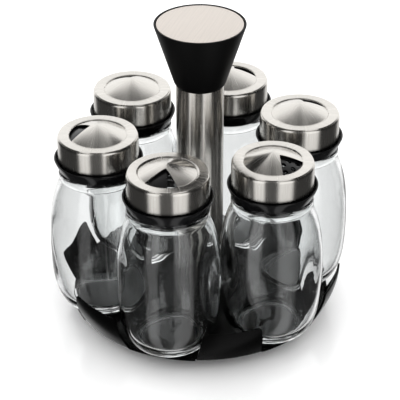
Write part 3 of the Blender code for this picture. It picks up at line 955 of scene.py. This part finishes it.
class RACK_OT_knob(bpy.types.Operator):
    """Make the knob and its steel disc"""

    bl_idname = "rack.knob"
    bl_label = "Knob"

    def execute(self, context):
        columns, colours = settings(context)
        plastic = moulded_plastic("knob_ABS_satin", colours.knob, 0.45, 0.35, 0.012, specular=0.2)
        steel = brushed_stainless("disc_stainless_brushed", colours.disc, 0.34)
        (low, high), radius = span_mm("knob"), reach_mm("knob")
        disc_radius = reach_mm("knob_disc")
        recess = low_mm("knob_disc") - 0.3
        corners = [(ROD_BORE, low, 0.2), (13.9, low, 0.4), (14.7, low + 1.2, 0.8), (radius, high, 0.5),
                   (disc_radius + 0.3, high, 0.25), (disc_radius + 0.3, recess), (23.1, recess),
                   (12.2, low + 5.9), (ROD_BORE, low + 5.9)]
        add_turned("grip_knob", corners, columns, plastic, "carousel", "knob")
        bottom, top = low_mm("knob_disc"), high_mm("knob_disc")
        corners = [(0, bottom), (disc_radius, bottom, 0.15), (disc_radius, top, 0.35), (0, top)]
        add_turned("inlay_disc", corners, columns, steel, "carousel", "knob_disc",
                   closed=False, flat_map=True)
        return {"FINISHED"}


def nut_shape(across_flats, bore, low, high, columns):
    """A hexagon nut: the radius is the hexagon's at each angle, cut down by a chamfer near both faces."""
    apothem = across_flats / 2
    face, corner = apothem * 0.95, apothem * 1.16
    run = np.array([(bore, low), (face, low), (corner, low + 0.45), (corner, high - 0.45), (face, high),
                    (bore, high), (bore, low)], float)

    def hexagon(angle, radius, height):
        turn = np.mod(angle + math.pi / 6, math.pi / 3) - math.pi / 6
        return np.minimum(radius, apothem / np.cos(turn)) - radius

    return turned_patch(run, columns, hexagon)


def rod_shape(low, high, radius, columns):
    """The tie rod: a plain shank, with a rolled thread at each end cut into it as a climbing groove."""
    heights = np.concatenate([np.linspace(low + 0.6, low + 9, 90), np.linspace(high - 16, high - 0.6, 150)])
    shank = np.stack([np.full_like(heights, radius), heights], axis=1)
    run = np.vstack([[(0, low), (radius - 0.6, low)], shank, [(radius - 0.6, high), (0, high)]])

    def thread(angle, radius_here, height):
        turns = height / 1.0 - angle / TURN
        groove = 0.5 + 0.5 * np.cos(TURN * turns)
        cut_here = (height < low + 8.5) | (height > high - 15.5)
        return -0.35 * groove * cut_here * (radius_here > radius - 0.3)

    return turned_patch(run, columns, thread)


class RACK_OT_fastening(bpy.types.Operator):
    """Make the tie rod, nuts and washer"""

    bl_idname = "rack.fastening"
    bl_label = "Tie rod and nuts"

    def execute(self, context):
        zinc = zinc_plate("hardware_zinc_plate", context.scene.rack_colours.zinc)
        shapes = {
            "tie_rod": rod_shape(*span_mm("tie_rod"), 3.0, 32),
            "lock_nut": nut_shape(9.5, 3.35, *span_mm("lock_nut"), 72),
            "knob_nut": nut_shape(11.0, 3.35, *span_mm("knob_nut"), 72),
        }
        for node, shape in shapes.items():
            name = f"zinc_{node}"
            add_piece(name, mesh_of(name, shape), zinc, "carousel", node)
        corners = ring_corners("thrust_washer", ROD_BORE, 9.0, 0.1, 0.1)
        add_turned("zinc_thrust_washer", corners, 64, zinc, "carousel", "thrust_washer")
        return {"FINISHED"}


# Foot and bearing.

RACE_RADIUS = 34.0


def race_corners(height, sign):
    """The ball groove's corners, from the inner edge to the outer one."""
    floor = height + sign * 0.85
    return [(RACE_RADIUS - 1.9, height, 0.2), (RACE_RADIUS - 1.2, floor, 0.4),
            (RACE_RADIUS + 1.2, floor, 0.4), (RACE_RADIUS + 1.9, height, 0.2)]


class RACK_OT_foot(bpy.types.Operator):
    """Make the standing foot, its bush and its pads"""

    bl_idname = "rack.foot"
    bl_label = "Foot"

    def execute(self, context):
        columns, colours = settings(context)
        plastic = moulded_plastic("foot_ABS", colours.foot, 0.4, 0.6, 0.012)
        rubber = soft_rubber("pad_rubber", colours.rubber)
        (low, high), radius = span_mm("foot_base"), reach_mm("foot_base")
        floor = low + 1.8
        corners = [(11.0, low, 0.3), (radius, low, 0.5), (radius, high, 0.6), (radius - 2.4, high, 0.6),
                   (radius - 2.4, floor, 0.8), *race_corners(floor, -1)[::-1], (14.0, floor, 0.6),
                   (14.0, 5.4, 0.4), (5.9, 5.4, 0.2), (5.9, 3.9), (11.0, 3.9, 0.3)]
        add_turned("foot_dish", corners, columns, plastic, "foot", "foot_base")
        corners = ring_corners("pivot_bush", ROD_BORE, 5.5, 0.2, 0.2)
        add_turned("centre_bush", corners, columns, plastic, "foot", "pivot_bush")
        for number in range(1, PADS + 1):
            node = f"foot_pad_{number}"
            top = high_mm(node)
            corners = [(0, 0), (5.0, 0, 0.3), (5.0, top, 0.3), (0, top)]
            add_turned(f"rubber_pad_{number}", corners, 40, rubber, "foot", node,
                       axis_of(node), closed=False)
        return {"FINISHED"}


def cage_shape(sectors, hole, half_width, low, high):
    """The ball cage: each sector is a rectangle round its hole, filled by lines from the hole's circle out
    to the rectangle, and bent round the ring."""
    half_length = math.pi * RACE_RADIUS / sectors
    corner = math.atan2(half_width, half_length)
    stops = [0, corner, math.pi - corner, math.pi + corner, TURN - corner, TURN]
    turn = np.concatenate([np.linspace(a, b, 13)[:-1] for a, b in zip(stops, stops[1:])] + [[TURN]])
    edge = np.minimum(half_length / np.maximum(np.abs(np.cos(turn)), 1e-9),
                      half_width / np.maximum(np.abs(np.sin(turn)), 1e-9))
    share = np.linspace(0, 1, 7)[:, None] ** 1.5
    distance = hole + share * (edge - hole)
    parts = []
    for index in range(sectors):
        centre = TURN * index / sectors
        angle = centre + distance * np.cos(turn) / RACE_RADIUS
        radius = RACE_RADIUS + distance * np.sin(turn)
        faces = [round_grid(radius, height, angle) for height in (high, low)]
        parts += [patch(grid) for grid in faces]
        parts.append(patch(np.stack([faces[0][0], faces[1][0]])))
        outside = np.abs(distance[-1] * np.sin(turn)) > half_width - 1e-6
        keep = outside[:-1] & outside[1:]
        parts.append(patch(np.stack([faces[0][-1], faces[1][-1]]), None, keep))
    return joined(parts)


def ball_shape(radius, height):
    """A sphere: a half circle turned round Z."""
    t = np.linspace(-math.pi / 2, math.pi / 2, 17)
    run = np.stack([radius * np.cos(t), height + radius * np.sin(t)], axis=1)
    run[[0, -1], 0] = 0
    return turned_patch(run, 28)


class RACK_OT_bearing(bpy.types.Operator):
    """Make the turntable plate, the ball cage and the balls"""

    bl_idname = "rack.bearing"
    bl_label = "Ball bearing"

    def execute(self, context):
        colours = context.scene.rack_colours
        zinc = zinc_plate("bearing_zinc_plate", colours.zinc)
        plastic = moulded_plastic("cage_ABS", colours.foot, 0.5, 0.6, 0.01)
        (low, high), radius = span_mm("turntable_plate"), reach_mm("turntable_plate")
        corners = [(ROD_BORE, low, 0.2), *race_corners(low, 1), (radius, low, 0.4), (radius, high, 0.4),
                   (ROD_BORE, high, 0.2)]
        add_turned("race_plate", corners, 96, zinc, "carousel", "turntable_plate")
        mesh = mesh_of("spacer_cage", cage_shape(BALLS, 2.3, 3.0, *span_mm("ball_cage")))
        add_piece("spacer_cage", mesh, plastic, "bearing", "ball_cage")
        for number in range(1, BALLS + 1):
            node = f"bearing_ball_{number}"
            middle = (low_mm(node) + high_mm(node)) / 2
            shape = moved(ball_shape((high_mm(node) - low_mm(node)) / 2, middle), 0, axis_of(node))
            add_piece(f"steel_ball_{number}", mesh_of(f"steel_ball_{number}", shape), zinc, "bearing", node)
        return {"FINISHED"}


# Stage.

# Studio seen in gloss only: (share of a full turn, brightness). 0.5 is towards the camera.
STUDIO_BANDS = ((0.0, 0.85), (0.12, 0.85), (0.155, 0.03), (0.347, 0.03), (0.364, 0.92), (0.432, 0.92),
                (0.446, 0.1), (0.53, 0.1), (0.546, 0.92), (0.64, 0.92), (0.66, 0.03), (0.845, 0.03),
                (0.88, 0.85), (1.0, 0.85))
# Share of the shell's height, and how far the grey of its roof and underside replaces the bands there.
STUDIO_ROOF = ((0.0, 0.6), (0.12, 0.34), (0.36, 0.34), (0.44, 0.0), (0.92, 0.0), (0.955, 0.35), (0.98, 0.85),
               (0.992, 1.0))
STUDIO_ROOF_GREY = 0.10
FLOOR_RADIUS_MM = 6000
STUDIO_RADIUS = 3.0
STUDIO_STRENGTH = 1.34
WORLD_STRENGTH = 1.28


def ramp(tree, source, output, stops):
    """A colour ramp of greys at the given stops."""
    node = add_node(tree, "ShaderNodeValToRGB", {"Fac": (source, output)})
    elements = node.color_ramp.elements
    while len(elements) < len(stops):
        elements.new(0.5)
    for element, (position, value) in zip(elements, stops):
        element.position = position
        element.color = (value, value, value, 1.0)
    return node


def studio_shell(strength):
    """The dark studio as gloss shows it: tall soft boxes in front, a bright wall behind, dark above."""
    material = bpy.data.materials.new("studio_shell")
    material.use_nodes = True
    tree = material.node_tree
    tree.nodes.clear()
    place = add_node(tree, "ShaderNodeTexCoord")
    facing = add_node(tree, "ShaderNodeMapping", {"Vector": (place, "Object")},
                      Rotation=(0, 0, math.radians(90 - VIEW_BEARING)))
    around = add_node(tree, "ShaderNodeTexGradient", {"Vector": (facing, "Vector")}, gradient_type="RADIAL")
    bands = ramp(tree, around, "Fac", STUDIO_BANDS)
    split = add_node(tree, "ShaderNodeSeparateXYZ", {"Vector": (place, "Object")})
    height = add_node(tree, "ShaderNodeMapRange", {"Value": (split, "Z")},
                      From_Min=-STUDIO_RADIUS, From_Max=STUDIO_RADIUS)
    roof = ramp(tree, height, "Result", STUDIO_ROOF)
    mix = add_node(tree, "ShaderNodeMix", {"Factor": (roof, "Color")}, data_type="RGBA")
    colours = [socket for socket in mix.inputs if socket.type == "RGBA"]
    tree.links.new(bands.outputs["Color"], colours[0])
    colours[1].default_value = (STUDIO_ROOF_GREY, STUDIO_ROOF_GREY, STUDIO_ROOF_GREY, 1.0)
    result = next(socket for socket in mix.outputs if socket.type == "RGBA")
    glow = add_node(tree, "ShaderNodeEmission", Strength=strength)
    tree.links.new(result, glow.inputs["Color"])
    out = add_node(tree, "ShaderNodeOutputMaterial")
    tree.links.new(glow.outputs["Emission"], out.inputs["Surface"])
    return material


def pale_floor(name):
    """Polished pale acrylic sheet: white, with a soft reflection."""
    material, tree, shader = new_material(name)
    set_shader(shader, Base_Color=linear("#FBFBFB"), IOR=1.49, Specular_IOR_Level=0.8)
    feed(tree, shader, Roughness=spread_over(tree, noise(tree, 120.0, 2.0), 0.14, 0.18))
    return material


class RACK_OT_stage(bpy.types.Operator):
    """Make the floor, the studio light and the camera"""

    bl_idname = "rack.stage"
    bl_label = "Stage"

    def execute(self, context):
        scene = context.scene
        run = np.array([(0, 0), (FLOOR_RADIUS_MM, 0)], float)
        floor = bpy.data.objects.new("floor", mesh_of("floor", turned_patch(run, 64)))
        floor.data.materials.append(pale_floor("floor_acrylic_white"))
        half = np.linspace(-math.pi / 2, math.pi / 2, 33)
        run = 1000 * STUDIO_RADIUS * np.stack([np.cos(half), np.sin(half)], axis=1)
        shell = bpy.data.objects.new("studio", mesh_of("studio", turned_patch(run, 64)))
        shell.data.materials.append(studio_shell(STUDIO_STRENGTH))
        for obj in (floor, shell):
            scene.collection.objects.link(obj)
        floor.visible_glossy = floor.visible_transmission = False
        for flag in ("camera", "diffuse", "shadow", "volume_scatter"):
            setattr(shell, f"visible_{flag}", False)
        world = bpy.data.worlds.new("white_tent")
        world.use_nodes = True
        world.node_tree.nodes["Background"].inputs["Color"].default_value = (1.0, 1.0, 1.0, 1.0)
        world.node_tree.nodes["Background"].inputs["Strength"].default_value = WORLD_STRENGTH
        scene.world = world
        scene.view_settings.view_transform = "Standard"
        scene.view_settings.look = "Medium High Contrast"
        scene.camera = self.add_camera(scene)
        return {"FINISHED"}

    def add_camera(self, scene):
        """The camera on its bearing and pitch, looking at the rack's middle."""
        bearing, pitch = math.radians(VIEW_BEARING), math.radians(VIEW_PITCH)
        back = Vector((math.sin(bearing) * math.cos(pitch), -math.cos(bearing) * math.cos(pitch),
                       math.sin(pitch)))
        camera = bpy.data.objects.new("camera", bpy.data.cameras.new("camera"))
        camera.data.sensor_width = SENSOR
        camera.data.lens = VIEW_LENS
        camera.data.clip_end = 20
        camera.location = Vector((0, 0, VIEW_HEIGHT)) + back * VIEW_DISTANCE
        camera.rotation_mode = "QUATERNION"
        camera.rotation_quaternion = (-back).to_track_quat("-Z", "Y")
        scene.collection.objects.link(camera)
        return camera


OPERATORS = (RACK_OT_jars, RACK_OT_collars, RACK_OT_sifters, RACK_OT_shaker_tops, RACK_OT_tray,
             RACK_OT_column, RACK_OT_knob, RACK_OT_fastening, RACK_OT_foot, RACK_OT_bearing, RACK_OT_stage)


class RACK_PT_panel(bpy.types.Panel):
    """The rack's pieces and sizes"""

    bl_idname = "RACK_PT_panel"
    bl_label = "Spice carousel"
    bl_space_type = "VIEW_3D"
    bl_region_type = "UI"
    bl_category = "Spice carousel"

    def draw(self, context):
        for group in (context.scene.rack_sizes, context.scene.rack_colours):
            for name in group.__annotations__:
                self.layout.prop(group, name)
        for operator in OPERATORS:
            self.layout.operator(operator.bl_idname)


CLASSES = (RackSizes, RackColours, *OPERATORS, RACK_PT_panel)


def register():
    for cls in CLASSES:
        bpy.utils.register_class(cls)
    bpy.types.Scene.rack_sizes = PointerProperty(type=RackSizes)
    bpy.types.Scene.rack_colours = PointerProperty(type=RackColours)


def unregister():
    del bpy.types.Scene.rack_colours
    del bpy.types.Scene.rack_sizes
    for cls in reversed(CLASSES):
        bpy.utils.unregister_class(cls)


def main():
    """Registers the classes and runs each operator."""
    register()
    for operator in OPERATORS:
        group, name = operator.bl_idname.split(".")
        getattr(getattr(bpy.ops, group), name)()


if __name__ == "__main__":
    main()
